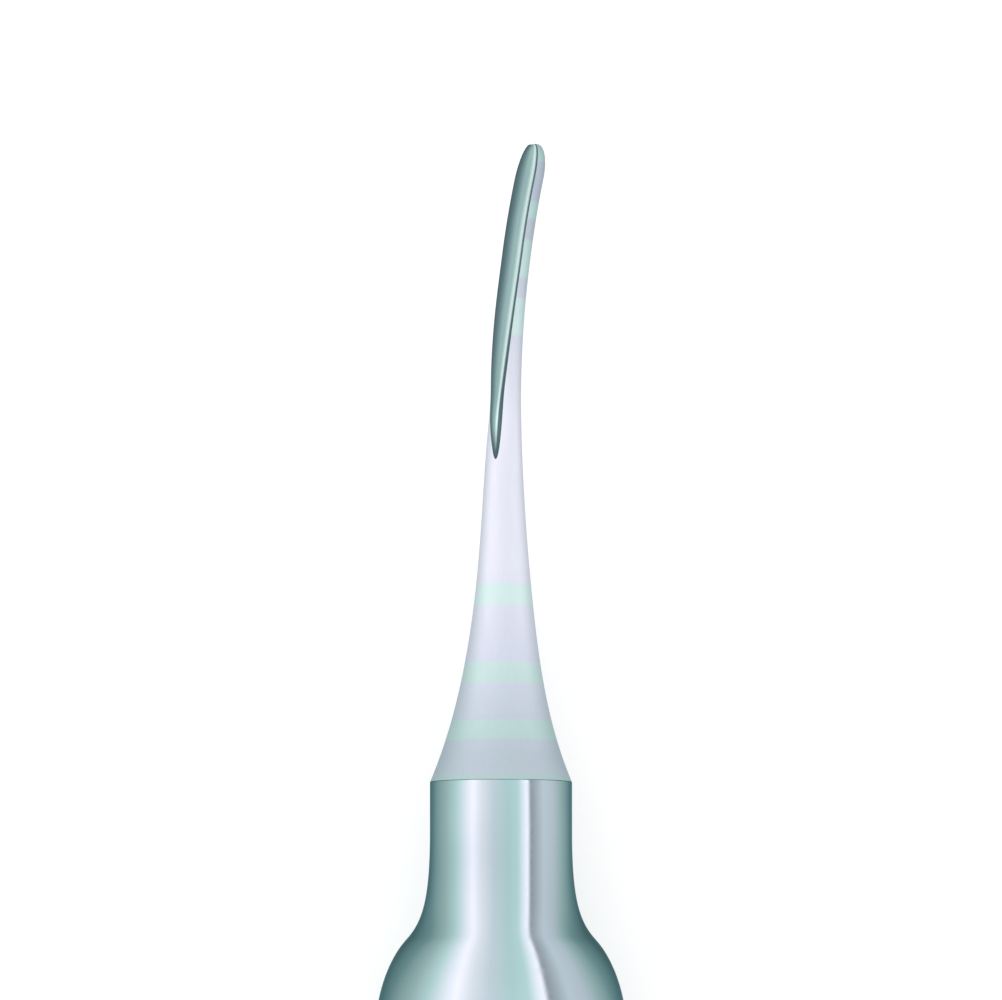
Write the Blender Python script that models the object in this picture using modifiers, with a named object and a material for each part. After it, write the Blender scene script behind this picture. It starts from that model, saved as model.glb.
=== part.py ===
"""Dental root elevator: a curved gouge blade on a tapered shank, set in a hollow faceted steel handle.

The instrument lies on one flat of its handle, tip towards -X. Every piece is modelled along the handle's axis:
local +Z runs from the collar's rim towards the tip, local +X is up and local +Y is the world's +Y.
"""

import math

import bmesh
import bpy
from mathutils import Matrix, Vector
from mathutils.geometry import interpolate_bezier

MM = 0.001

# Overall lengths, in metres
TIP_LENGTH = 36.1 * MM
HANDLE_LENGTH = 116.0 * MM
ORIGIN_BEHIND_RIM = 64.0 * MM

# Collar and flare at the front of the handle, where the shank is seated
COLLAR_RADIUS = 4.0 * MM
COLLAR_LENGTH = 2.8 * MM
RIM_CHAMFER = 0.12 * MM
FLARE_LENGTH = 6.1 * MM
FLARE_RADIUS = 5.37 * MM
FLARE_ANGLE = math.radians(42)
FLARE_STRAIGHT_SHARE = 0.67
FLARE_RISE_SHARE = 0.63

# Grip: a turned swell with six flats cut along it
SHOULDER_LENGTH = 5.0 * MM
SHOULDER_RADIUS = 7.05 * MM
SHOULDER_RISE_SHARE = 0.55
SHOULDER_ROUND_SHARE = 0.4
SWELL_RADIUS = 8.2 * MM
SWELL_PLACE = 80.0 * MM
SWELL_PULL_SHARE = 0.45
BUTT_RADIUS = 7.55 * MM
BUTT_EDGE = 0.5 * MM
FLAT_COUNT = 6
FLAT_DISTANCE = 7.2 * MM

# Inside of the handle
FIT_GAP = 0.02 * MM
TANG_RADIUS = 2.0 * MM
TANG_LENGTH = 14.0 * MM
TANG_CHAMFER = 0.4 * MM
BORE_LENGTH = 16.0 * MM
CAVITY_RADIUS = 6.0 * MM
DRILL_POINT_LENGTH = 2.4 * MM

# Plug that closes the handle's butt
PLUG_RADIUS = 7.1 * MM
PLUG_RIM = 0.8 * MM
PLUG_DOME = 2.2 * MM
PLUG_SPIGOT_LENGTH = 6.0 * MM
PLUG_CHAMFER = 0.5 * MM

# Shank: the half-width falls along a curve from the collar to the neck
SHANK_FLARE_PULL = (3.6 * MM, 2.5 * MM)
SHANK_NECK_PULL = (8.35 * MM, 1.33 * MM)
NECK_PLACE = 21.6 * MM
NECK_RADIUS = 0.93 * MM
SHANK_LEAN = 0.17 * MM
SHANK_LEAN_LENGTH = 12.0 * MM

# Blade: a round bar whose face is ground down, widened a little and bent away from its groove
BLADE_HALF_WIDTH = 1.16 * MM
BLADE_BACK = 1.055 * MM
BLADE_FACE = 0.6 * MM
WIDENING = (16.0 * MM, 30.8 * MM)
FACE_GRIND = (15.8 * MM, 21.9 * MM)
BEND_START = 22.5 * MM
BEND_RADIUS = 50.0 * MM
FACE_ANGLE = math.radians(150)
ROLL = (17.5 * MM, 22.5 * MM)
ROLL_ANGLE = math.radians(31.5)

# Groove of the gouge, cut by a round cutter that sinks in along the blade and leaves past its end
GROOVE_RADIUS = 1.665 * MM
GROOVE_DEPTH = 0.495 * MM
GROOVE_ENTRY = (17.7 * MM, 29.9 * MM)
GROOVE_ENTRY_HEIGHT = 1.0 * MM
GROOVE_ENTRY_POWER = 1.67
GROOVE_OVERRUN = 2.0 * MM

# Nose: the whole section shrinks along a quarter round to a small blunt end
NOSE_LENGTH = 2.0 * MM
NOSE_END_SHARE = 0.25

# Smoothness of the solids
SHANK_STATIONS = 16
BLADE_STATIONS = 26
NOSE_STATIONS = 8
RING_POINTS = 40
TURNED_STEPS = 56

STEEL = {
    "satin_steel": ((0.62, 0.66, 0.69, 1.0), 0.32),
    "polished_steel": ((0.60, 0.66, 0.68, 1.0), 0.16),
}


def clear_scene():
    for obj in list(bpy.data.objects):
        bpy.data.objects.remove(obj, do_unlink=True)


def make_collection(name):
    collection = bpy.data.collections.new(name)
    bpy.context.scene.collection.children.link(collection)
    return collection


def make_steel(name):
    colour, roughness = STEEL[name]
    material = bpy.data.materials.new(name)
    material.use_nodes = True
    shader = material.node_tree.nodes["Principled BSDF"]
    shader.inputs["Base Color"].default_value = colour
    shader.inputs["Metallic"].default_value = 1.0
    shader.inputs["Roughness"].default_value = roughness
    material.diffuse_color = colour
    return material


def add_object(name, bm, collection, axis, material=None):
    mesh = bpy.data.meshes.new(name)
    bm.to_mesh(mesh)
    bm.free()
    obj = bpy.data.objects.new(name, mesh)
    obj.parent = axis
    collection.objects.link(obj)
    if material:
        mesh.materials.append(material)
    mesh.shade_smooth()
    mesh.set_sharp_from_angle(angle=math.radians(30))
    return obj


def add_cutter(name, bm, collection, axis):
    cutter = add_object(name, bm, collection, axis)
    cutter.hide_render = True
    cutter.display_type = "WIRE"
    return cutter


def add_boolean(obj, name, operation, cutter):
    boolean = obj.modifiers.new(name, "BOOLEAN")
    boolean.operation = operation
    boolean.solver = "EXACT"
    boolean.object = cutter


def make_axis(collection):
    """The handle's axis: local +Z points at the tip, and the lowest flat lies on the floor."""
    axis = bpy.data.objects.new("instrument_axis", None)
    axis.location = (-ORIGIN_BEHIND_RIM, 0, FLAT_DISTANCE)
    axis.rotation_euler = (0, -math.pi / 2, 0)
    collection.objects.link(axis)
    return axis


def ease(value, span):
    """0 before the span, 1 after it, and a smooth step along it."""
    share = min(max((value - span[0]) / (span[1] - span[0]), 0), 1)
    return share * share * (3 - 2 * share)


def curve_points(start, pull_start, pull_end, end, count):
    """Points (radius, place) along a cubic curve, without its first point."""
    corners = [Vector((*corner, 0)) for corner in (start, pull_start, pull_end, end)]
    return [(point.x, point.y) for point in interpolate_bezier(*corners, count)[1:]]


def turned(name, profile, collection, axis, material):
    """A closed profile of (radius, place) turned about the axis. It runs from the tip's end to the butt outside."""
    bm = bmesh.new()
    corners = [bm.verts.new((radius, 0, place)) for radius, place in profile]
    for corner, following in zip(corners, corners[1:]):
        bm.edges.new((corner, following))
    if profile[0][0] > 0:
        bm.edges.new((corners[-1], corners[0]))
    obj = add_object(name, bm, collection, axis, material)
    screw = obj.modifiers.new("turning", "SCREW")
    screw.axis = "Z"
    screw.steps = TURNED_STEPS
    screw.render_steps = TURNED_STEPS
    screw.use_merge_vertices = True
    screw.merge_threshold = 0.000001
    screw.use_smooth_shade = True
    return obj


def handle_profile():
    """Outside from the rim to the butt, then back along the cavity, its drill point and the tang's bore."""
    flare_start = COLLAR_LENGTH
    flare_end = flare_start + FLARE_LENGTH
    flare_rise = (FLARE_RADIUS - COLLAR_RADIUS) * FLARE_RISE_SHARE
    shoulder_end = flare_end + SHOULDER_LENGTH
    shoulder_rise = (SHOULDER_RADIUS - FLARE_RADIUS) * SHOULDER_RISE_SHARE
    swell_pull = (SWELL_PLACE - shoulder_end) * SWELL_PULL_SHARE
    edge_start = HANDLE_LENGTH - BUTT_EDGE
    butt_pull = (edge_start - SWELL_PLACE) * SWELL_PULL_SHARE
    bore = TANG_RADIUS + FIT_GAP
    outside = [(COLLAR_RADIUS - RIM_CHAMFER, 0), (COLLAR_RADIUS, RIM_CHAMFER), (COLLAR_RADIUS, flare_start)]
    outside += curve_points(
        (COLLAR_RADIUS, flare_start),
        (COLLAR_RADIUS, flare_start + FLARE_LENGTH * FLARE_STRAIGHT_SHARE),
        (FLARE_RADIUS - flare_rise, flare_end - flare_rise / math.tan(FLARE_ANGLE)),
        (FLARE_RADIUS, flare_end),
        9,
    )
    outside += curve_points(
        (FLARE_RADIUS, flare_end),
        (FLARE_RADIUS + shoulder_rise, flare_end + shoulder_rise / math.tan(FLARE_ANGLE)),
        (SHOULDER_RADIUS, shoulder_end - SHOULDER_LENGTH * SHOULDER_ROUND_SHARE),
        (SHOULDER_RADIUS, shoulder_end),
        7,
    )
    outside += curve_points(
        (SHOULDER_RADIUS, shoulder_end),
        (SHOULDER_RADIUS, shoulder_end + swell_pull),
        (SWELL_RADIUS, SWELL_PLACE - swell_pull),
        (SWELL_RADIUS, SWELL_PLACE),
        13,
    )
    outside += curve_points(
        (SWELL_RADIUS, SWELL_PLACE),
        (SWELL_RADIUS, SWELL_PLACE + butt_pull),
        (BUTT_RADIUS, edge_start - butt_pull),
        (BUTT_RADIUS, edge_start),
        8,
    )
    inside = [
        (BUTT_RADIUS - BUTT_EDGE, HANDLE_LENGTH),
        (CAVITY_RADIUS, HANDLE_LENGTH),
        (CAVITY_RADIUS, BORE_LENGTH + DRILL_POINT_LENGTH),
        (bore, BORE_LENGTH),
        (bore, 0),
    ]
    return [(radius, -place) for radius, place in outside + inside]


def flats_prism(collection, axis):
    """Prism that leaves the handle's flats, one of them lowest. It stands clear of both ends."""
    margin = COLLAR_RADIUS
    bm = bmesh.new()
    bmesh.ops.create_cone(
        bm,
        cap_ends=True,
        segments=FLAT_COUNT,
        radius1=FLAT_DISTANCE / math.cos(math.pi / FLAT_COUNT),
        radius2=FLAT_DISTANCE / math.cos(math.pi / FLAT_COUNT),
        depth=HANDLE_LENGTH + 2 * margin,
    )
    corner = bm.verts[:][0].co
    turn = math.pi / FLAT_COUNT - math.atan2(corner.y, corner.x)
    bmesh.ops.rotate(bm, verts=bm.verts, cent=(0, 0, 0), matrix=Matrix.Rotation(turn, 3, "Z"))
    bmesh.ops.translate(bm, verts=bm.verts, vec=(0, 0, -HANDLE_LENGTH / 2))
    return add_cutter("flats_prism", bm, collection, axis)


def make_handle(parts, cutters, axis, material):
    handle = turned("handle_shell", handle_profile(), parts, axis, material)
    add_boolean(handle, "flats", "INTERSECT", flats_prism(cutters, axis))
    return handle


def plug_profile():
    """Domed head, its rim, the seat on the handle's end and the spigot inside the cavity."""
    seat = HANDLE_LENGTH + FIT_GAP
    rim_end = seat + PLUG_RIM
    spigot = CAVITY_RADIUS - FIT_GAP
    spigot_end = seat - PLUG_SPIGOT_LENGTH
    points = [(0, spigot_end), (spigot - PLUG_CHAMFER, spigot_end), (spigot, spigot_end + PLUG_CHAMFER)]
    points += [(spigot, seat), (PLUG_RADIUS, seat), (PLUG_RADIUS, rim_end)]
    points += curve_points(
        (PLUG_RADIUS, rim_end),
        (PLUG_RADIUS, rim_end + PLUG_DOME * 0.6),
        (PLUG_RADIUS * 0.55, rim_end + PLUG_DOME),
        (0, rim_end + PLUG_DOME),
        10,
    )
    return [(radius, -place) for radius, place in points]


def make_plug(parts, axis, material):
    return turned("butt_plug", plug_profile(), parts, axis, material)


def shank_radius(place):
    """Half-width of the round shank, read from its curve at this distance from the rim."""
    if place >= NECK_PLACE:
        return NECK_RADIUS
    low, high = 0.0, 1.0
    for _ in range(40):
        middle = (low + high) / 2
        if shank_curve(middle)[0] < place:
            low = middle
        else:
            high = middle
    return shank_curve(low)[1]


def shank_curve(share):
    corners = [(0, COLLAR_RADIUS), SHANK_FLARE_PULL, SHANK_NECK_PULL, (NECK_PLACE, NECK_RADIUS)]
    weights = [(1 - share) ** 3, 3 * (1 - share) ** 2 * share, 3 * (1 - share) * share**2, share**3]
    return [sum(weight * corner[side] for weight, corner in zip(weights, corners)) for side in (0, 1)]


def bend_offset(place):
    """How far the blade's centre has moved away from its face."""
    beyond = max(place - BEND_START, 0)
    return SHANK_LEAN * ease(place, (0, SHANK_LEAN_LENGTH)) + beyond**2 / (2 * BEND_RADIUS)


def on_blade(across, outward, place):
    """Local point from a place in the section: across its face and outward from it."""
    angle = FACE_ANGLE - ROLL_ANGLE * (1 - ease(place, ROLL))
    offset = -bend_offset(place)
    side = across * math.sin(angle) + outward * math.cos(angle) + offset * math.cos(FACE_ANGLE)
    height = -across * math.cos(angle) + outward * math.sin(angle) + offset * math.sin(FACE_ANGLE)
    return (height, side, place)


def nose_share(place):
    """Share of the blade's section that is left in the nose: 1 before it and the end's share from the tip on."""
    beyond = min(max(1 - (TIP_LENGTH - place) / NOSE_LENGTH, 0), 1)
    return NOSE_END_SHARE + (1 - NOSE_END_SHARE) * math.sqrt(1 - beyond**2)


def blade_section(place):
    """Half-width, back and face of the section at this distance from the rim."""
    radius = shank_radius(place)
    widening = ease(place, WIDENING)
    half_width = radius + (BLADE_HALF_WIDTH - radius) * widening
    back = radius + (BLADE_BACK - radius) * widening
    face = radius + (BLADE_FACE - radius) * ease(place, FACE_GRIND)
    return half_width, back, face


def blade_ring(place):
    half_width, back, face = [side * nose_share(place) for side in blade_section(place)]
    ring = []
    for step in range(RING_POINTS):
        angle = 2 * math.pi * step / RING_POINTS
        outward = math.sin(angle) * (face if math.sin(angle) > 0 else back)
        ring.append(on_blade(half_width * math.cos(angle), outward, place))
    return ring


def round_ring(radius, place):
    return [
        (
            radius * math.sin(math.pi * 2 * step / RING_POINTS),
            radius * math.cos(math.pi * 2 * step / RING_POINTS),
            place,
        )
        for step in range(RING_POINTS)
    ]


def groove_ring(place):
    """The cutter's round section, its lowest point at the groove's floor."""
    share = (place - GROOVE_ENTRY[0]) / (GROOVE_ENTRY[1] - GROOVE_ENTRY[0])
    rise = GROOVE_ENTRY_HEIGHT + GROOVE_DEPTH
    if share > 0:
        floor = -GROOVE_DEPTH + rise * max(1 - share, 0) ** GROOVE_ENTRY_POWER
    else:
        floor = GROOVE_ENTRY_HEIGHT - rise * GROOVE_ENTRY_POWER * share
    ring = []
    for step in range(RING_POINTS):
        angle = 2 * math.pi * step / RING_POINTS
        across = GROOVE_RADIUS * math.cos(angle)
        outward = floor + GROOVE_RADIUS + GROOVE_RADIUS * math.sin(angle)
        ring.append(on_blade(across * nose_share(place), outward * nose_share(place), place))
    return ring


def loft(rings):
    """Closed body through rings of the same number of points, with flat ends."""
    bm = bmesh.new()
    loops = [[bm.verts.new(point) for point in ring] for ring in rings]
    for loop, following in zip(loops, loops[1:]):
        for step in range(len(loop)):
            after = (step + 1) % len(loop)
            bm.faces.new((loop[step], loop[after], following[after], following[step]))
    bm.faces.new(loops[0])
    bm.faces.new(loops[-1])
    bmesh.ops.recalc_face_normals(bm, faces=bm.faces)
    return bm


def nose_places():
    """Distances from the rim of the nose's sections, closer together towards the tip."""
    turns = [math.pi / 2 * step / NOSE_STATIONS for step in range(NOSE_STATIONS + 1)]
    return [TIP_LENGTH - NOSE_LENGTH + NOSE_LENGTH * math.sin(turn) for turn in turns]


def blade_places():
    """Distances from the rim at which the shank, the blade and its nose have a section."""
    blade_start = ROLL[0]
    nose_start = TIP_LENGTH - NOSE_LENGTH
    places = [FIT_GAP + (blade_start - FIT_GAP) * step / SHANK_STATIONS for step in range(SHANK_STATIONS)]
    places += [blade_start + (nose_start - blade_start) * step / BLADE_STATIONS for step in range(BLADE_STATIONS)]
    return places + nose_places()


def groove_places():
    entry = GROOVE_ENTRY[0] - GROOVE_OVERRUN
    nose_start = TIP_LENGTH - NOSE_LENGTH
    places = [entry + (nose_start - entry) * step / BLADE_STATIONS for step in range(BLADE_STATIONS)]
    return places + nose_places() + [TIP_LENGTH + GROOVE_OVERRUN]


def make_blade(parts, cutters, axis, material):
    rings = [
        round_ring(TANG_RADIUS - TANG_CHAMFER, -TANG_LENGTH),
        round_ring(TANG_RADIUS, TANG_CHAMFER - TANG_LENGTH),
        round_ring(TANG_RADIUS, FIT_GAP),
    ]
    rings += [blade_ring(place) for place in blade_places()]
    blade = add_object("blade_and_shank", loft(rings), parts, axis, material)
    groove = add_cutter("groove_cutter", loft([groove_ring(place) for place in groove_places()]), cutters, axis)
    add_boolean(blade, "groove", "DIFFERENCE", groove)
    return blade


def build():
    clear_scene()
    parts = make_collection("root_elevator")
    cutters = make_collection("cutters")
    axis = make_axis(parts)
    satin = make_steel("satin_steel")
    polished = make_steel("polished_steel")
    make_blade(parts, cutters, axis, satin)
    make_handle(parts, cutters, axis, polished)
    make_plug(parts, axis, polished)


build()
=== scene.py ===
"""Looks of a dental root elevator: a satin steel gouge blade and shank in a polished hollow steel handle."""

import math

import bmesh
import bpy
from mathutils import Matrix, Vector
from mathutils.geometry import interpolate_bezier


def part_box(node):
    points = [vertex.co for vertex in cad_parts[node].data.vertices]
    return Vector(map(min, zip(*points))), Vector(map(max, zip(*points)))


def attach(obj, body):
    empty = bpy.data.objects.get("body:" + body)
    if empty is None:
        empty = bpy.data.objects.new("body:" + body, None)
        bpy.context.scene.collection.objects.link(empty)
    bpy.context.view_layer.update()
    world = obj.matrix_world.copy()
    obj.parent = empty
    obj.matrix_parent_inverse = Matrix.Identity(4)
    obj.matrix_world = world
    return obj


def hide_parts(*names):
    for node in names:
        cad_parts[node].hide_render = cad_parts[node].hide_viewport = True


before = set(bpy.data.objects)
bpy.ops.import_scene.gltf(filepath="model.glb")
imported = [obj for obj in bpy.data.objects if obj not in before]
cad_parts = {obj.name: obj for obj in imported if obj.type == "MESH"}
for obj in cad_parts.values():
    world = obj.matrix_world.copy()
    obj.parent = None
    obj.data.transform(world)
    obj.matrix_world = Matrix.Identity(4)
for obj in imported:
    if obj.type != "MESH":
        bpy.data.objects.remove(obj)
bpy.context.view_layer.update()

MM = 0.001

# Places that the frame gives, in metres
handle_low, handle_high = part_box("handle_shell")
tip_low, tip_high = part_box("blade_and_shank")
RIM_X = handle_low.x
HANDLE_LENGTH = handle_high.x - handle_low.x
TIP_LENGTH = handle_low.x - tip_low.x
TANG_LENGTH = tip_high.x - handle_low.x
AXIS_Z = (handle_low.z + handle_high.z) / 2
FLAT_DISTANCE = AXIS_Z

# Collar, flare and grip, as the handle's solid has them
FIT_GAP = 0.02 * MM
COLLAR_RADIUS = 4.0 * MM
COLLAR_LENGTH = 2.8 * MM
RIM_ROUND = 0.02 * MM
FLARE_LENGTH = 6.1 * MM
FLARE_RADIUS = 5.37 * MM
FLARE_SLOPE = math.tan(math.radians(42))
FLARE_STRAIGHT_SHARE = 0.67
FLARE_RISE_SHARE = 0.63
SHOULDER_LENGTH = 5.0 * MM
SHOULDER_RADIUS = 7.05 * MM
SHOULDER_RISE_SHARE = 0.55
SHOULDER_ROUND_SHARE = 0.4
SWELL_RADIUS = 8.2 * MM
SWELL_PLACE = 80.0 * MM
SWELL_PULL_SHARE = 0.45
BUTT_RADIUS = 7.55 * MM
BUTT_EDGE = 0.5 * MM
FLAT_COUNT = 6
FLAT_EDGE_ROUND = 0.06 * MM
CAVITY_RADIUS = 6.0 * MM
BORE_LENGTH = 16.0 * MM
DRILL_POINT_LENGTH = 2.4 * MM
TANG_RADIUS = 2.0 * MM
TANG_CHAMFER = 0.4 * MM

# Butt plug
PLUG_RADIUS = 7.1 * MM
PLUG_RIM = 0.8 * MM
PLUG_DOME = 2.2 * MM
PLUG_DOME_SIDE_SHARE = 0.6
PLUG_DOME_TOP_SHARE = 0.55
PLUG_SPIGOT_LENGTH = 6.0 * MM
PLUG_CHAMFER = 0.5 * MM

# Shank and blade, as the tip's solid has them. The shank's side is one cubic curve, and each of its corners
# is a distance from the rim and a radius, in mm
SHANK_CORNERS = ((0, 4.0), (3.6, 2.5), (8.35, 1.33), (21.6, 0.93))
SHANK_LEAN = 0.17 * MM
SHANK_LEAN_LENGTH = 12.0 * MM
BLADE_HALF_WIDTH = 1.16 * MM
BLADE_BACK = 1.055 * MM
BLADE_FACE = 0.6 * MM
WIDENING = (16.0 * MM, 30.8 * MM)
FACE_GRIND = (15.8 * MM, 21.9 * MM)
BEND_START = 22.5 * MM
BEND_RADIUS = 50.0 * MM
FACE_ANGLE = math.radians(150)
ROLL = (17.5 * MM, 22.5 * MM)
ROLL_ANGLE = math.radians(31.5)
GROOVE_RADIUS = 1.665 * MM
GROOVE_DEPTH = 0.495 * MM
GROOVE_ENTRY = (17.7 * MM, 29.9 * MM)
GROOVE_ENTRY_HEIGHT = 1.0 * MM
GROOVE_ENTRY_POWER = 1.67
NOSE_LENGTH = 2.0 * MM
NOSE_END_SHARE = 0.25

# How finely the smooth pieces are divided
TURNED_STEPS = 180
RIM_STEPS = 6
FLARE_POINTS = 32
SHOULDER_POINTS = 24
SWELL_POINTS = 40
BUTT_POINTS = 24
DOME_POINTS = 32
OUTSIDE_POINTS = 72
GROOVE_POINTS = 36
SHANK_STATIONS = 60
BLADE_STATIONS = 150
BLADE_STATION_POWER = 1.5
NOSE_STATIONS = 36

# How often a range is halved to find a place in it
HALVINGS = 30

# Points closer than a merge distance become one, and a cut takes points within its tolerance as on it
TURNED_MERGE = 0.0005 * MM
TIP_MERGE = 0.0002 * MM
CUT_TOLERANCE = 0.00001 * MM

# Edges that turn more than this stay sharp
TURNED_SHARP = math.radians(35)
TIP_SHARP = math.radians(30)

# A milled flat is one face with more corners than this
FLAT_CORNERS = 20

# Polished steel: its roughness, the rings that the lathe left, and the faint clouds of the polishing mop.
# The smaller a stretch is, the further it draws its marks out
POLISHED_ROUGHNESS = (0.08, 0.14)
LATHE_RING_WIDTH = 0.35 * MM
LATHE_RING_STRETCH = 0.02
LATHE_RING_BUMP = 0.12
CLOUD_SIZE = 9 * MM

# Satin steel: its roughness and the lines that the abrasive left along the tip
SATIN_ROUGHNESS = (0.56, 0.66)
ABRASIVE_LINE_WIDTH = 0.18 * MM
ABRASIVE_LINE_STRETCH = 0.05
ABRASIVE_LINE_BUMP = 0.15

# Depth of the rings and of the lines, and the range that holds nearly all of a noise's values
MARK_DEPTH = 0.004 * MM
NOISE_RANGE = (0.3, 0.7)

# Share of the satin steel that shines as metal does. The rest scatters light, as a matt passivated skin does
SATIN_METALLIC = 0.45

# The same share where the wheel's marks make the steel matt, and its roughness there
GROUND_METALLIC = 0.6
GROUND_ROUGHNESS = 0.5

# Where painted shade darkens the groove at its start and dims its painted highlight
GROOVE_START_SHADE = (18.3 * MM, 20.6 * MM)

# Faint teal bands in the satin steel's colour: where each starts and ends, in mm from the
# rim, and over how many mm its edges fade
TINT_BANDS = (
    (0, 0.2),
    (2.35, 3.35),
    (5.55, 6.65),
    (10.0, 11.1),
    (25.25, 27.2),
    (28.5, 30.55),
    (31.8, 32.75),
    (35.1, 36.1),
)
TINT_EDGE = 0.1

# The studio seen in the metal: brightness and tint by the place across a polished bar that mirrors it.
# 1 is the bar's edge. Two long soft boxes hang over the table, between cool walls, with darkness beyond them
SOFT_BOX = "#fff9ff"
SOFT_BOX_EDGE = "#ffffff"
CEILING = "#f1fcff"
WALL = "#dcfdf4"
DARKNESS = "#ccfff8"
STUDIO_LIGHT = (
    (-1.25, 0.32, DARKNESS),
    (-1.0, 0.43, DARKNESS),
    (-0.79, 0.7, WALL),
    (-0.64, 1.01, WALL),
    (-0.4, 1.6, SOFT_BOX),
    (-0.28, 1.22, SOFT_BOX_EDGE),
    (-0.1, 1.02, CEILING),
    (0.1, 0.99, WALL),
    (0.24, 1.08, WALL),
    (0.38, 1.66, SOFT_BOX),
    (0.42, 0.49, CEILING),
    (0.6, 0.96, CEILING),
    (0.74, 0.87, CEILING),
    (0.86, 0.7, WALL),
    (1.0, 0.46, DARKNESS),
    (1.2, 0.32, DARKNESS),
)
STUDIO_REACH = 1.4
STUDIO_LEVEL = 0.75

# How far the mirrored studio is spread where the bar flares out, so that its soft boxes stay straight
FLARE_SPREAD = 0.52
FLARE_SPREAD_POWER = 1.25

# Table top: its size in metres, how far it lies below the lowest flat, its colour, and the white that it adds
# for the rays that see the background
FLOOR_REACH = 3.0
FLOOR_DROP = 0.01 * MM
FLOOR_COLOUR = "#cccccc"
FLOOR_GLOW = 0.55

# Lamps, in metres and watts: a soft box over the collar, a little to one side, and a fill lamp to each side
# beyond the nose
OVERHEAD_PLACE = (RIM_X, -0.1, 0.9)
OVERHEAD_SIZE = 0.8
OVERHEAD_POWER = 2.0
FILL_AHEAD = 0.1
FILL_SIDE = 0.4
FILL_HEIGHT = 0.12
FILL_SIZE = 0.3
FILL_POWER = 0.32

# The photograph's frame: the collar is COLLAR_PIXELS wide in it, and its rim is seen at RIM_ROW
PICTURE_WIDTH = 1002
PICTURE_HEIGHT = 1000
COLLAR_PIXELS = 142
RIM_ROW = 782
PIXEL_SIZE = 2 * COLLAR_RADIUS / COLLAR_PIXELS
CAMERA_TILT = math.radians(3.3)
LENS = 600.0
SENSOR = 36.0
CLIP_START = 0.01

# A Mix node's sockets for colours: its factor, its two colours and its result
MIX_FACTOR = 0
MIX_FIRST = 6
MIX_SECOND = 7
MIX_RESULT = 2


def linear(code):
    """Linear colour from an sRGB hex code such as "#b4c2ce"."""
    channels = [int(code[start : start + 2], 16) / 255 for start in (1, 3, 5)]
    return [c / 12.92 if c <= 0.04045 else ((c + 0.055) / 1.055) ** 2.4 for c in channels] + [1.0]


def add_node(tree, kind, settings=None, inputs=None, links=None):
    """Adds a node with its settings, its input values and its links from other nodes' outputs."""
    node = tree.nodes.new(kind)
    for name, value in (settings or {}).items():
        setattr(node, name, value)
    for name, value in (inputs or {}).items():
        node.inputs[name].default_value = value
    for name, output in (links or {}).items():
        tree.links.new(output, node.inputs[name])
    return node


def set_stops(ramp, stops):
    """Gives a colour ramp its stops, each a place and a grey level or a colour."""
    elements = ramp.color_ramp.elements
    while len(elements) > 1:
        elements.remove(elements[-1])
    for number, (place, value) in enumerate(stops):
        element = elements[0] if number == 0 else elements.new(place)
        element.position = place
        element.color = value if isinstance(value, (list, tuple)) else (value, value, value, 1)


def steel_base(name, metallic, edge_tint):
    """A material with its output and a metal shader, whose own sockets hold what is the same all over."""
    material = bpy.data.materials.new(name)
    material.use_nodes = True
    tree = material.node_tree
    tree.nodes.clear()
    shader = add_node(
        tree,
        "ShaderNodeBsdfPrincipled",
        inputs={"Metallic": metallic, "Specular Tint": linear(edge_tint)},
    )
    add_node(tree, "ShaderNodeOutputMaterial", links={"Surface": shader.outputs[0]})
    return material, tree, shader


def add_marks(tree, shader, marks, roughness, strength):
    """Lets the marks of a tool change a shader's roughness and its surface."""
    gloss = add_node(
        tree,
        "ShaderNodeMapRange",
        inputs={
            "From Min": NOISE_RANGE[0],
            "From Max": NOISE_RANGE[1],
            "To Min": roughness[0],
            "To Max": roughness[1],
        },
        links={"Value": marks.outputs["Fac"]},
    )
    tree.links.new(gloss.outputs[0], shader.inputs["Roughness"])
    bump = add_node(
        tree,
        "ShaderNodeBump",
        inputs={"Strength": strength, "Distance": MARK_DEPTH},
        links={"Height": marks.outputs["Fac"]},
    )
    tree.links.new(bump.outputs[0], shader.inputs["Normal"])


def polished_steel():
    """Stainless bar, turned and then polished: cool, mirror-like, with the lathe's faint rings round it."""
    material, tree, shader = steel_base("polished_stainless_steel", 1.0, "#a9bcc4")
    place = add_node(tree, "ShaderNodeTexCoord")
    rings_at = add_node(
        tree,
        "ShaderNodeMapping",
        inputs={"Scale": (1, LATHE_RING_STRETCH, LATHE_RING_STRETCH)},
        links={"Vector": place.outputs["Object"]},
    )
    rings = add_node(
        tree,
        "ShaderNodeTexNoise",
        inputs={"Scale": 1 / LATHE_RING_WIDTH, "Detail": 3.0, "Roughness": 0.6},
        links={"Vector": rings_at.outputs[0]},
    )
    clouds = add_node(
        tree,
        "ShaderNodeTexNoise",
        inputs={"Scale": 1 / CLOUD_SIZE, "Detail": 2.0},
        links={"Vector": place.outputs["Object"]},
    )
    tone = add_node(tree, "ShaderNodeValToRGB", links={"Fac": clouds.outputs["Fac"]})
    set_stops(tone, [(NOISE_RANGE[0], linear("#c1c9d1")), (NOISE_RANGE[1], linear("#cad1d9"))])
    tree.links.new(tone.outputs[0], shader.inputs["Base Color"])
    add_marks(tree, shader, rings, POLISHED_ROUGHNESS, LATHE_RING_BUMP)
    return material


def teal_band_stops():
    """Stops along the tip, from its nose to the rim, that are 1 inside each teal band and 0 between them."""
    stops = []
    for start, end in reversed(TINT_BANDS):
        for place, level in ((end + TINT_EDGE, 0.0), (end, 1.0), (start, 1.0), (start - TINT_EDGE, 0.0)):
            share = 1 - place * MM / TIP_LENGTH
            if 0 < share < 1:
                stops.append((share, level))
    return stops


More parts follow.
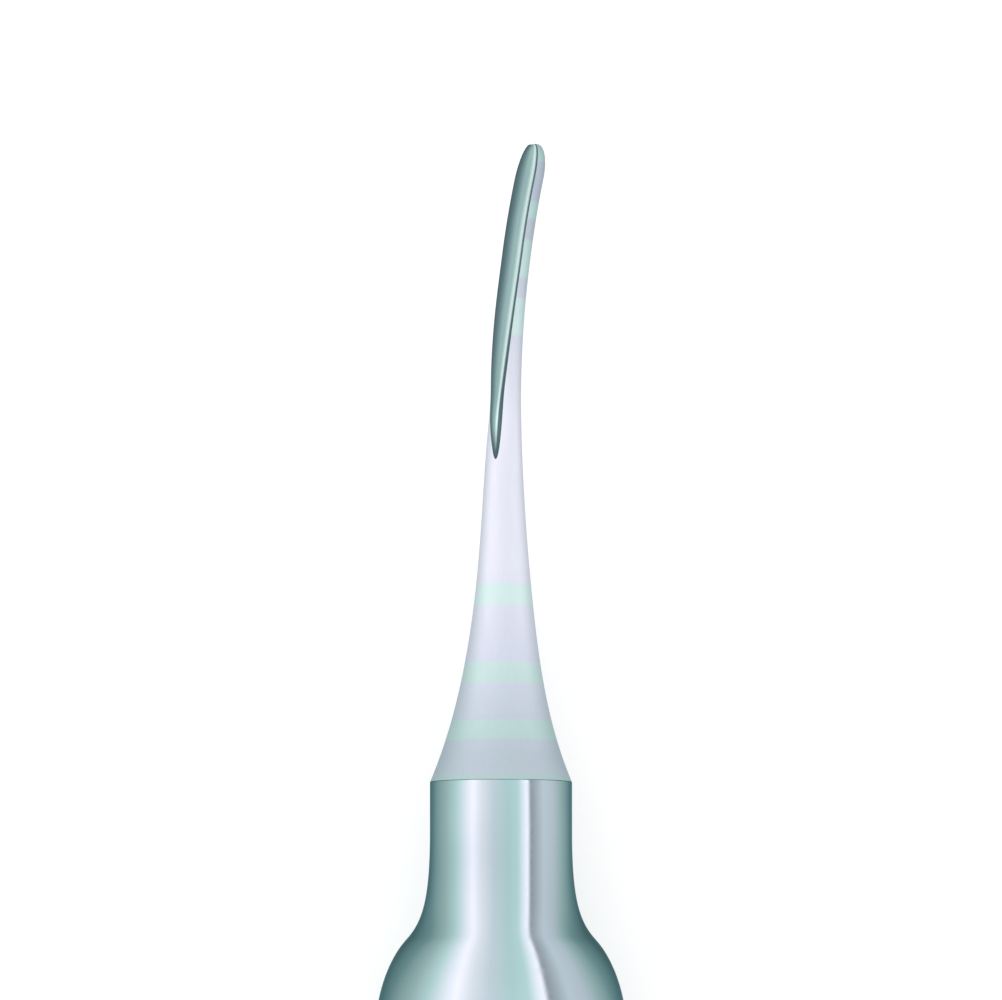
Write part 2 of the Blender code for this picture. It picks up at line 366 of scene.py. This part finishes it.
def satin_steel():
    """Forged stainless steel, satin finished and passivated: pale and soft, with the abrasive's fine lines.

    Palest along its middle; painted shade darkens and cools it towards both ends. It has faint teal bands.
    """
    material, tree, shader = steel_base("satin_stainless_steel", SATIN_METALLIC, "#dfe5ef")
    place = add_node(tree, "ShaderNodeTexCoord")
    axes = add_node(tree, "ShaderNodeSeparateXYZ", links={0: place.outputs["Object"]})
    along = add_node(
        tree,
        "ShaderNodeMapRange",
        inputs={"From Min": RIM_X - TIP_LENGTH, "From Max": RIM_X},
        links={"Value": axes.outputs["X"]},
    )
    # Both ramps along the tip hold the steel's own pale colour in the middle, with painted shade that darkens
    # and cools it towards the nose and the rim, where the surface tilts
    pale_steel_and_end_shade = add_node(tree, "ShaderNodeValToRGB", links={"Fac": along.outputs[0]})
    set_stops(
        pale_steel_and_end_shade,
        [
            (0.0, linear("#b1bbc7")),
            (0.15, linear("#bec4d1")),
            (0.43, linear("#e5e2ee")),
            (0.66, linear("#e5e2ee")),
            (0.8, linear("#d5d6e4")),
            (0.96, linear("#bcc5cf")),
        ],
    )
    teal = add_node(tree, "ShaderNodeValToRGB", links={"Fac": along.outputs[0]})
    set_stops(
        teal,
        [
            (0.0, linear("#afc9c9")),
            (0.3, linear("#cfe1e0")),
            (0.71, linear("#d5e6e5")),
            (1.0, linear("#b2cac9")),
        ],
    )
    bands = add_node(tree, "ShaderNodeValToRGB", links={"Fac": along.outputs[0]})
    set_stops(bands, teal_band_stops())
    tone = add_node(
        tree,
        "ShaderNodeMix",
        settings={"data_type": "RGBA"},
        links={MIX_FACTOR: bands.outputs[0], MIX_FIRST: pale_steel_and_end_shade.outputs[0], MIX_SECOND: teal.outputs[0]},
    )
    tree.links.new(tone.outputs[MIX_RESULT], shader.inputs["Base Color"])
    lines_at = add_node(
        tree,
        "ShaderNodeMapping",
        inputs={"Scale": (ABRASIVE_LINE_STRETCH, 1, 1)},
        links={"Vector": place.outputs["Object"]},
    )
    lines = add_node(
        tree,
        "ShaderNodeTexNoise",
        inputs={"Scale": 1 / ABRASIVE_LINE_WIDTH, "Detail": 4.0, "Roughness": 0.65},
        links={"Vector": lines_at.outputs[0]},
    )
    add_marks(tree, shader, lines, SATIN_ROUGHNESS, ABRASIVE_LINE_BUMP)
    return material


def ground_steel():
    """Hollow-ground steel, with painted shade beside the groove's rims and a painted highlight just past its
    middle.

    Its tone follows the place across the groove, from its lower rim at 0 to its upper rim at 1.
    """
    material, tree, shader = steel_base("hollow_ground_steel", GROUND_METALLIC, "#8fa7aa")
    shader.inputs["Roughness"].default_value = GROUND_ROUGHNESS
    across = add_node(tree, "ShaderNodeAttribute", settings={"attribute_name": "across"})
    # Painted shade and painted highlight across the groove: dark at the lower rim, lighter across it, a
    # painted highlight just past the middle, and dark again at the upper rim
    tone = add_node(tree, "ShaderNodeValToRGB", links={"Fac": across.outputs["Fac"]})
    set_stops(
        tone,
        [
            (0.0, linear("#48595f")),
            (0.085, linear("#587073")),
            (0.15, linear("#708689")),
            (0.25, linear("#92a7a9")),
            (0.32, linear("#97aeb0")),
            (0.39, linear("#bccfd0")),
            (0.45, linear("#ecf8f9")),
            (0.52, linear("#f4ffff")),
            (0.57, linear("#899ea0")),
            (0.63, linear("#667a7f")),
        ],
    )
    place = add_node(tree, "ShaderNodeTexCoord")
    axes = add_node(tree, "ShaderNodeSeparateXYZ", links={0: place.outputs["Object"]})
    # Painted shade: the groove's tone turns to a dark grey towards its start
    start_shade_share = add_node(
        tree,
        "ShaderNodeMapRange",
        settings={"interpolation_type": "SMOOTHSTEP"},
        inputs={"From Min": RIM_X - GROOVE_START_SHADE[0], "From Max": RIM_X - GROOVE_START_SHADE[1]},
        links={"Value": axes.outputs["X"]},
    )
    faded = add_node(
        tree,
        "ShaderNodeMix",
        settings={"data_type": "RGBA"},
        inputs={MIX_FIRST: linear("#44555a")},
        links={MIX_FACTOR: start_shade_share.outputs[0], MIX_SECOND: tone.outputs[0]},
    )
    tree.links.new(faded.outputs[MIX_RESULT], shader.inputs["Base Color"])
    return material


def bezier(start, pull_start, pull_end, end, count):
    """Points (radius, place) along a cubic curve, without its first point."""
    corners = [Vector((*corner, 0)) for corner in (start, pull_start, pull_end, end)]
    return [(point.x, point.y) for point in interpolate_bezier(*corners, count)[1:]]


def along_handle():
    """Matrix from a piece's own axis, with +Z towards the tip and +X up, to the handle's place."""
    return Matrix.Translation((RIM_X, 0, AXIS_Z)) @ Matrix.Rotation(-math.pi / 2, 4, "Y")


def finish_piece(name, bm, nodes, materials):
    """Makes a mesh object at the origin, with its place in its mesh, that stands for CAD nodes."""
    bmesh.ops.transform(bm, matrix=along_handle(), verts=bm.verts)
    mesh = bpy.data.meshes.new(name)
    bm.to_mesh(mesh)
    bm.free()
    for material in materials:
        mesh.materials.append(material)
    piece = bpy.data.objects.new(name, mesh)
    bpy.context.scene.collection.objects.link(piece)
    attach(piece, "root")
    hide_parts(*nodes)
    return piece


def spun(profile):
    """A bmesh turned about Z from a profile of (radius, place) points."""
    bm = bmesh.new()
    corners = [bm.verts.new((radius, 0, -place)) for radius, place in profile]
    edges = [bm.edges.new(pair) for pair in zip(corners, corners[1:])]
    if profile[0][0] > 0:
        edges.append(bm.edges.new((corners[-1], corners[0])))
    bmesh.ops.spin(
        bm,
        geom=corners + edges,
        cent=(0, 0, 0),
        axis=(0, 0, 1),
        angle=2 * math.pi,
        steps=TURNED_STEPS,
        use_merge=True,
    )
    bmesh.ops.remove_doubles(bm, verts=bm.verts, dist=TURNED_MERGE)
    bmesh.ops.recalc_face_normals(bm, faces=bm.faces)
    return bm


def smooth_all(bm, sharp_angle):
    """Smooth shading everywhere but across edges that turn more than this."""
    for face in bm.faces:
        face.smooth = True
    for edge in bm.edges:
        if len(edge.link_faces) == 2 and edge.calc_face_angle() > sharp_angle:
            edge.smooth = False


def rounded_rim():
    """The collar's front edge, turned over in a quarter round."""
    radius = COLLAR_RADIUS - RIM_ROUND
    turns = [math.pi / 2 * step / RIM_STEPS for step in range(RIM_STEPS + 1)]
    return [(radius + RIM_ROUND * math.sin(turn), RIM_ROUND - RIM_ROUND * math.cos(turn)) for turn in turns]


def grip_profile():
    """Outside from the collar's rim to the butt, then back along the cavity and the tang's bore."""
    flare_start = COLLAR_LENGTH
    flare_end = flare_start + FLARE_LENGTH
    flare_rise = (FLARE_RADIUS - COLLAR_RADIUS) * FLARE_RISE_SHARE
    shoulder_end = flare_end + SHOULDER_LENGTH
    shoulder_rise = (SHOULDER_RADIUS - FLARE_RADIUS) * SHOULDER_RISE_SHARE
    swell_pull = (SWELL_PLACE - shoulder_end) * SWELL_PULL_SHARE
    edge_start = HANDLE_LENGTH - BUTT_EDGE
    butt_pull = (edge_start - SWELL_PLACE) * SWELL_PULL_SHARE
    bore = TANG_RADIUS + FIT_GAP
    profile = rounded_rim() + [(COLLAR_RADIUS, flare_start)]
    profile += bezier(
        (COLLAR_RADIUS, flare_start),
        (COLLAR_RADIUS, flare_start + FLARE_LENGTH * FLARE_STRAIGHT_SHARE),
        (FLARE_RADIUS - flare_rise, flare_end - flare_rise / FLARE_SLOPE),
        (FLARE_RADIUS, flare_end),
        FLARE_POINTS,
    )
    profile += bezier(
        (FLARE_RADIUS, flare_end),
        (FLARE_RADIUS + shoulder_rise, flare_end + shoulder_rise / FLARE_SLOPE),
        (SHOULDER_RADIUS, shoulder_end - SHOULDER_LENGTH * SHOULDER_ROUND_SHARE),
        (SHOULDER_RADIUS, shoulder_end),
        SHOULDER_POINTS,
    )
    profile += bezier(
        (SHOULDER_RADIUS, shoulder_end),
        (SHOULDER_RADIUS, shoulder_end + swell_pull),
        (SWELL_RADIUS, SWELL_PLACE - swell_pull),
        (SWELL_RADIUS, SWELL_PLACE),
        SWELL_POINTS,
    )
    profile += bezier(
        (SWELL_RADIUS, SWELL_PLACE),
        (SWELL_RADIUS, SWELL_PLACE + butt_pull),
        (BUTT_RADIUS, edge_start - butt_pull),
        (BUTT_RADIUS, edge_start),
        BUTT_POINTS,
    )
    profile += [
        (BUTT_RADIUS - BUTT_EDGE, HANDLE_LENGTH),
        (CAVITY_RADIUS, HANDLE_LENGTH),
        (CAVITY_RADIUS, BORE_LENGTH + DRILL_POINT_LENGTH),
        (bore, BORE_LENGTH),
        (bore, 0),
    ]
    return profile


def cut_flats(bm):
    """Mills the flats along the grip, one of them lowest."""
    for number in range(FLAT_COUNT):
        angle = math.pi + 2 * math.pi * number / FLAT_COUNT
        outward = Vector((math.cos(angle), math.sin(angle), 0))
        cut = bmesh.ops.bisect_plane(
            bm,
            geom=bm.verts[:] + bm.edges[:] + bm.faces[:],
            dist=CUT_TOLERANCE,
            plane_co=outward * FLAT_DISTANCE,
            plane_no=outward,
            clear_outer=True,
        )["geom_cut"]
        loop = [item for item in cut if isinstance(item, bmesh.types.BMEdge)]
        bmesh.ops.holes_fill(bm, edges=loop, sides=0)
    bm.normal_update()


def milled_flats(bm):
    """The faces that are flats."""
    return [face for face in bm.faces if len(face.verts) > FLAT_CORNERS]


def make_handle(material):
    """The turned hollow handle with its flats, whose edges are broken."""
    bm = spun(grip_profile())
    cut_flats(bm)
    edges = list({edge for face in milled_flats(bm) for edge in face.edges})
    bmesh.ops.bevel(
        bm,
        geom=edges,
        offset=FLAT_EDGE_ROUND,
        offset_type="WIDTH",
        affect="EDGES",
        segments=2,
        profile=0.5,
        material=-1,
        clamp_overlap=True,
    )
    smooth_all(bm, TURNED_SHARP)
    for face in milled_flats(bm):
        face.smooth = False
    finish_piece("faceted_handle", bm, ["handle_shell"], [material])


def make_plug(material):
    """The domed plug whose spigot closes the handle's cavity."""
    seat = HANDLE_LENGTH + FIT_GAP
    rim_end = seat + PLUG_RIM
    spigot = CAVITY_RADIUS - FIT_GAP
    spigot_end = seat - PLUG_SPIGOT_LENGTH
    profile = [(0, spigot_end), (spigot - PLUG_CHAMFER, spigot_end), (spigot, spigot_end + PLUG_CHAMFER)]
    profile += [(spigot, seat), (PLUG_RADIUS, seat), (PLUG_RADIUS, rim_end)]
    profile += bezier(
        (PLUG_RADIUS, rim_end),
        (PLUG_RADIUS, rim_end + PLUG_DOME * PLUG_DOME_SIDE_SHARE),
        (PLUG_RADIUS * PLUG_DOME_TOP_SHARE, rim_end + PLUG_DOME),
        (0, rim_end + PLUG_DOME),
        DOME_POINTS,
    )
    bm = spun(profile)
    smooth_all(bm, TURNED_SHARP)
    finish_piece("domed_butt_plug", bm, ["butt_plug"], [material])


def ease(value, span):
    """0 before the span, 1 after it, and a smooth step along it."""
    share = min(max((value - span[0]) / (span[1] - span[0]), 0), 1)
    return share * share * (3 - 2 * share)


def shank_curve(share):
    """Distance from the rim and radius at this share of the shank's curve."""
    rest = 1 - share
    weights = (rest**3, 3 * rest**2 * share, 3 * rest * share**2, share**3)
    return [
        sum(weight * corner[side] for weight, corner in zip(weights, SHANK_CORNERS)) * MM
        for side in (0, 1)
    ]


def shank_radius(place):
    """Half-width of the round shank, read from its curve at this distance from the rim."""
    neck_place, neck_radius = shank_curve(1)
    if place >= neck_place:
        return neck_radius
    low, high = 0.0, 1.0
    for _ in range(HALVINGS):
        middle = (low + high) / 2
        if shank_curve(middle)[0] < place:
            low = middle
        else:
            high = middle
    return shank_curve(low)[1]


def bend_offset(place):
    """How far the blade's centre has moved away from its face."""
    beyond = max(place - BEND_START, 0)
    return SHANK_LEAN * ease(place, (0, SHANK_LEAN_LENGTH)) + beyond**2 / (2 * BEND_RADIUS)


def on_blade(across, outward, place):
    """Point from a place in the section: across its face and outward from it."""
    angle = FACE_ANGLE - ROLL_ANGLE * (1 - ease(place, ROLL))
    offset = -bend_offset(place)
    side = across * math.sin(angle) + outward * math.cos(angle) + offset * math.cos(FACE_ANGLE)
    height = -across * math.cos(angle) + outward * math.sin(angle) + offset * math.sin(FACE_ANGLE)
    return Vector((height, side, place))


def nose_share(place):
    """Share of the blade's section that is left: 1 before the nose, falling to the end's share at its tip."""
    beyond = min(max(1 - (TIP_LENGTH - place) / NOSE_LENGTH, 0), 1)
    return NOSE_END_SHARE + (1 - NOSE_END_SHARE) * math.sqrt(1 - beyond**2)


def blade_section(place):
    """Half-width, back and face of the section at this distance from the rim."""
    radius = shank_radius(place)
    widening = ease(place, WIDENING)
    half_width = radius + (BLADE_HALF_WIDTH - radius) * widening
    back = radius + (BLADE_BACK - radius) * widening
    face = radius + (BLADE_FACE - radius) * ease(place, FACE_GRIND)
    return half_width, back, face


def groove_floor(place):
    """Height of the groove's floor over the blade's middle plane."""
    share = (place - GROOVE_ENTRY[0]) / (GROOVE_ENTRY[1] - GROOVE_ENTRY[0])
    rise = GROOVE_ENTRY_HEIGHT + GROOVE_DEPTH
    if share > 0:
        return -GROOVE_DEPTH + rise * max(1 - share, 0) ** GROOVE_ENTRY_POWER
    return GROOVE_ENTRY_HEIGHT - rise * GROOVE_ENTRY_POWER * share


def groove_height(across, floor):
    """Height of the round groove at this place across it, over its floor's height."""
    return floor + GROOVE_RADIUS - math.sqrt(GROOVE_RADIUS**2 - across**2)


def outline_point(angle, section):
    """Point of the ground blank's outline at an angle round the section, from its upper side."""
    half_width, back, face = section
    outward = math.sin(angle) * (face if math.sin(angle) > 0 else back)
    return half_width * math.cos(angle), outward


def rim_angle(section, floor):
    """Angle round the section, from its upper side, at which the outline meets the groove."""
    if floor >= section[2]:
        return math.pi / 2
    low, high = -math.pi / 2, math.pi / 2
    for _ in range(HALVINGS):
        middle = (low + high) / 2
        across, outward = outline_point(middle, section)
        if outward < groove_height(across, floor):
            low = middle
        else:
            high = middle
    return low


def section_points(place):
    """Points of the section: round its back from the upper rim to the lower, then across the groove."""
    section = blade_section(place)
    floor = groove_floor(place)
    rim = rim_angle(section, floor)
    turn = math.pi + 2 * rim
    angles = [rim - turn * step / OUTSIDE_POINTS for step in range(OUTSIDE_POINTS + 1)]
    points = [outline_point(angle, section) for angle in angles]
    width = points[0][0]
    for step in range(1, GROOVE_POINTS):
        across = width * (2 * step / GROOVE_POINTS - 1)
        outward = groove_height(across, floor) if rim < math.pi / 2 else section[2]
        points.append((across, outward))
    return points


def tip_places():
    """Distances of the tip's sections from the rim, closer together at the groove's start and the nose."""
    shank_length = GROOVE_ENTRY[0] - FIT_GAP
    nose_start = TIP_LENGTH - NOSE_LENGTH
    blade_length = nose_start - GROOVE_ENTRY[0]
    shares = [(step / BLADE_STATIONS) ** BLADE_STATION_POWER for step in range(BLADE_STATIONS)]
    turns = [math.pi / 2 * step / NOSE_STATIONS for step in range(NOSE_STATIONS + 1)]
    places = [FIT_GAP + shank_length * step / SHANK_STATIONS for step in range(SHANK_STATIONS)]
    places += [GROOVE_ENTRY[0] + blade_length * share for share in shares]
    return places + [nose_start + NOSE_LENGTH * math.sin(turn) for turn in turns]


def make_tip(outside_material, groove_material):
    """The working tip, drawn out section by section from its tang to its nose."""
    bm = bmesh.new()
    count = OUTSIDE_POINTS + GROOVE_POINTS
    steps = bm.verts.layers.int.new("step")
    across_layer = bm.verts.layers.float.new("across")
    ring = bmesh.ops.create_circle(bm, segments=count, radius=TANG_RADIUS, cap_ends=False)["verts"]
    for number, vert in enumerate(ring):
        vert[steps] = number
    edges = bm.edges[:]
    rings = [(-TANG_LENGTH, TANG_RADIUS - TANG_CHAMFER), (TANG_CHAMFER - TANG_LENGTH, TANG_RADIUS)]
    rings += [(FIT_GAP, TANG_RADIUS)] + [(place, None) for place in tip_places()]
    for number, (place, radius) in enumerate(rings):
        if number:
            grown = bmesh.ops.extrude_edge_only(bm, edges=edges)["geom"]
            edges = [item for item in grown if isinstance(item, bmesh.types.BMEdge)]
            ring = [item for item in grown if isinstance(item, bmesh.types.BMVert)]
        points = section_points(max(place, FIT_GAP))
        half_width = points[0][0] or COLLAR_RADIUS
        for vert in ring:
            across, outward = points[vert[steps]]
            vert[across_layer] = 0.5 + 0.5 * across / half_width
            if radius:
                length = math.hypot(across, outward)
                vert.co = Vector((outward, across, 0)) * radius / length + Vector((0, 0, place))
            else:
                vert.co = on_blade(across * nose_share(place), outward * nose_share(place), place)
    bmesh.ops.remove_doubles(bm, verts=bm.verts, dist=TIP_MERGE)
    bmesh.ops.holes_fill(bm, edges=[edge for edge in bm.edges if edge.is_boundary], sides=0)
    bmesh.ops.recalc_face_normals(bm, faces=bm.faces)
    smooth_all(bm, TIP_SHARP)
    paint_groove(bm, steps, set(range(OUTSIDE_POINTS, count)) | {0})
    materials = [outside_material, groove_material]
    return finish_piece("gouge_blade_and_shank", bm, ["blade_and_shank"], materials)


def paint_groove(bm, steps, groove_steps):
    """Gives the groove's faces the second material, but not the face of many corners that closes the nose."""
    for face in bm.faces:
        if len(face.verts) > 4:
            continue
        in_groove = all(vert[steps] in groove_steps for vert in face.verts)
        if in_groove and min(vert.co.z for vert in face.verts) > GROOVE_ENTRY[0]:
            face.material_index = 1


def seen_rays(tree):
    """1 for camera, glossy and transmission rays, which see the white background, and 0 for the others."""
    path = add_node(tree, "ShaderNodeLightPath")
    total = add_node(
        tree,
        "ShaderNodeMath",
        settings={"operation": "MAXIMUM"},
        links={0: path.outputs["Is Camera Ray"], 1: path.outputs["Is Glossy Ray"]},
    )
    return add_node(
        tree,
        "ShaderNodeMath",
        settings={"operation": "MAXIMUM"},
        links={0: total.outputs[0], 1: path.outputs["Is Transmission Ray"]},
    )


def white_table_top():
    """Matt white laminate that takes the shadow, and that is white where the background shows."""
    material = bpy.data.materials.new("white_table_top")
    material.use_nodes = True
    tree = material.node_tree
    tree.nodes.clear()
    matt = add_node(tree, "ShaderNodeBsdfDiffuse", inputs={"Color": linear(FLOOR_COLOUR)})
    glow = add_node(tree, "ShaderNodeEmission", inputs={"Color": (1, 1, 1, 1)})
    level = add_node(
        tree,
        "ShaderNodeMath",
        settings={"operation": "MULTIPLY"},
        inputs={1: FLOOR_GLOW},
        links={0: seen_rays(tree).outputs[0]},
    )
    tree.links.new(level.outputs[0], glow.inputs["Strength"])
    both = add_node(tree, "ShaderNodeAddShader", links={0: matt.outputs[0], 1: glow.outputs[0]})
    add_node(tree, "ShaderNodeOutputMaterial", links={"Surface": both.outputs[0]})
    return material


def make_floor(material):
    """Plain white table top that keeps the instrument's soft shadow, a hair below its lowest flat."""
    bm = bmesh.new()
    bmesh.ops.create_grid(bm, x_segments=1, y_segments=1, size=FLOOR_REACH)
    bmesh.ops.translate(bm, verts=bm.verts, vec=(0, 0, -FLOOR_DROP))
    mesh = bpy.data.meshes.new("table_top")
    bm.to_mesh(mesh)
    bm.free()
    mesh.materials.append(material)
    floor = bpy.data.objects.new("table_top", mesh)
    floor.visible_glossy = False
    bpy.context.scene.collection.objects.link(floor)


def mirrored_place(tree):
    """Place across a lying bar, as a share of its half-width, that mirrors a direction straight up.

    The direction and straight up have the bar's normal halfway between them.
    """
    direction = add_node(tree, "ShaderNodeTexCoord")
    halfway = add_node(
        tree,
        "ShaderNodeVectorMath",
        settings={"operation": "ADD"},
        inputs={1: (0, 0, 1)},
        links={0: direction.outputs["Generated"]},
    )
    normal = add_node(
        tree,
        "ShaderNodeVectorMath",
        settings={"operation": "NORMALIZE"},
        links={0: halfway.outputs[0]},
    )
    parts = add_node(tree, "ShaderNodeSeparateXYZ", links={0: normal.outputs[0]})
    angle = add_node(
        tree,
        "ShaderNodeMath",
        settings={"operation": "ARCTAN2"},
        links={0: parts.outputs["Y"], 1: parts.outputs["Z"]},
    )
    across = add_node(tree, "ShaderNodeMath", settings={"operation": "SINE"}, links={0: angle.outputs[0]})
    lean = add_node(
        tree,
        "ShaderNodeMapRange",
        inputs={"From Min": 0.0, "From Max": -1.0},
        links={"Value": parts.outputs["X"]},
    )
    curve = add_node(
        tree,
        "ShaderNodeMath",
        settings={"operation": "POWER"},
        inputs={1: FLARE_SPREAD_POWER},
        links={0: lean.outputs[0]},
    )
    spread = add_node(
        tree,
        "ShaderNodeMath",
        settings={"operation": "MULTIPLY_ADD"},
        inputs={1: FLARE_SPREAD, 2: 1.0},
        links={0: curve.outputs[0]},
    )
    return add_node(
        tree,
        "ShaderNodeMath",
        settings={"operation": "MULTIPLY"},
        links={0: across.outputs[0], 1: spread.outputs[0]},
    )


def mirrored_studio(tree):
    """The studio's light by direction, scaled up at the end because a ramp holds no value over 1."""
    share = add_node(
        tree,
        "ShaderNodeMapRange",
        inputs={"From Min": -STUDIO_REACH, "From Max": STUDIO_REACH},
        links={"Value": mirrored_place(tree).outputs[0]},
    )
    peak = max(level for place, level, tint in STUDIO_LIGHT)
    stops = []
    for place, level, tint in STUDIO_LIGHT:
        colour = [channel * level / peak for channel in linear(tint)[:3]] + [1.0]
        stops.append((0.5 + place / (2 * STUDIO_REACH), colour))
    boxes = add_node(tree, "ShaderNodeValToRGB", links={"Fac": share.outputs[0]})
    set_stops(boxes, stops)
    return add_node(
        tree,
        "ShaderNodeVectorMath",
        settings={"operation": "SCALE"},
        inputs={"Scale": peak},
        links={0: boxes.outputs[0]},
    )


def make_world():
    """White to the camera, the studio's soft boxes and dark sides in the metal, an even light elsewhere."""
    world = bpy.data.worlds.new("studio")
    bpy.context.scene.world = world
    world.use_nodes = True
    tree = world.node_tree
    tree.nodes.clear()
    path = add_node(tree, "ShaderNodeLightPath")
    light = add_node(
        tree,
        "ShaderNodeMix",
        settings={"data_type": "RGBA"},
        inputs={MIX_FIRST: (STUDIO_LEVEL, STUDIO_LEVEL, STUDIO_LEVEL, 1)},
        links={MIX_FACTOR: path.outputs["Is Glossy Ray"], MIX_SECOND: mirrored_studio(tree).outputs[0]},
    )
    seen = add_node(
        tree,
        "ShaderNodeMath",
        settings={"operation": "MAXIMUM"},
        links={0: path.outputs["Is Camera Ray"], 1: path.outputs["Is Transmission Ray"]},
    )
    colour = add_node(
        tree,
        "ShaderNodeMix",
        settings={"data_type": "RGBA"},
        inputs={MIX_SECOND: (1, 1, 1, 1)},
        links={MIX_FACTOR: seen.outputs[0], MIX_FIRST: light.outputs[MIX_RESULT]},
    )
    background = add_node(tree, "ShaderNodeBackground", links={"Color": colour.outputs[MIX_RESULT]})
    add_node(tree, "ShaderNodeOutputWorld", links={"Surface": background.outputs[0]})


def add_lamp(name, place, size, power):
    """A square soft box that looks at the middle of the collar's rim."""
    light = bpy.data.lights.new(name, "AREA")
    light.size = size
    light.energy = power
    lamp = bpy.data.objects.new(name, light)
    lamp.location = place
    aim = Vector((RIM_X, 0, AXIS_Z)) - Vector(place)
    lamp.rotation_mode = "QUATERNION"
    lamp.rotation_quaternion = aim.to_track_quat("-Z", "Y")
    bpy.context.scene.collection.objects.link(lamp)
    return lamp


def make_lamps(tip):
    """A soft box overhead, which the metal doesn't mirror, and two fill lamps, which light the tip alone."""
    overhead = add_lamp("overhead_soft_box", OVERHEAD_PLACE, OVERHEAD_SIZE, OVERHEAD_POWER)
    overhead.visible_glossy = False
    tip_only = bpy.data.collections.new("lit_by_the_fill_lamps")
    tip_only.objects.link(tip)
    for side in (-1, 1):
        place = (RIM_X - FILL_AHEAD, side * FILL_SIDE, FILL_HEIGHT)
        fill = add_lamp("fill_lamp", place, FILL_SIZE, FILL_POWER)
        fill.light_linking.receiver_collection = tip_only


def make_camera():
    """Looks down on the tip from a little towards the butt, with the tip up in the picture."""
    rows_to_middle = RIM_ROW - PICTURE_HEIGHT / 2
    aim = Vector((RIM_X - rows_to_middle * PIXEL_SIZE / math.cos(CAMERA_TILT), 0, AXIS_Z))
    distance = PICTURE_WIDTH * PIXEL_SIZE * LENS / SENSOR
    back = Vector((math.sin(CAMERA_TILT), 0, math.cos(CAMERA_TILT)))
    up = Vector((-math.cos(CAMERA_TILT), 0, math.sin(CAMERA_TILT)))
    right = up.cross(back)
    data = bpy.data.cameras.new("camera")
    data.lens = LENS
    data.sensor_width = SENSOR
    data.clip_start = CLIP_START
    camera = bpy.data.objects.new("camera", data)
    turn = Matrix((right, up, back)).transposed().to_4x4()
    camera.matrix_world = Matrix.Translation(aim + back * distance) @ turn
    bpy.context.scene.collection.objects.link(camera)
    bpy.context.scene.camera = camera


tip = make_tip(satin_steel(), ground_steel())
polished = polished_steel()
make_handle(polished)
make_plug(polished)
make_floor(white_table_top())
make_world()
make_lamps(tip)
make_camera()
bpy.context.scene.view_settings.view_transform = "Standard"
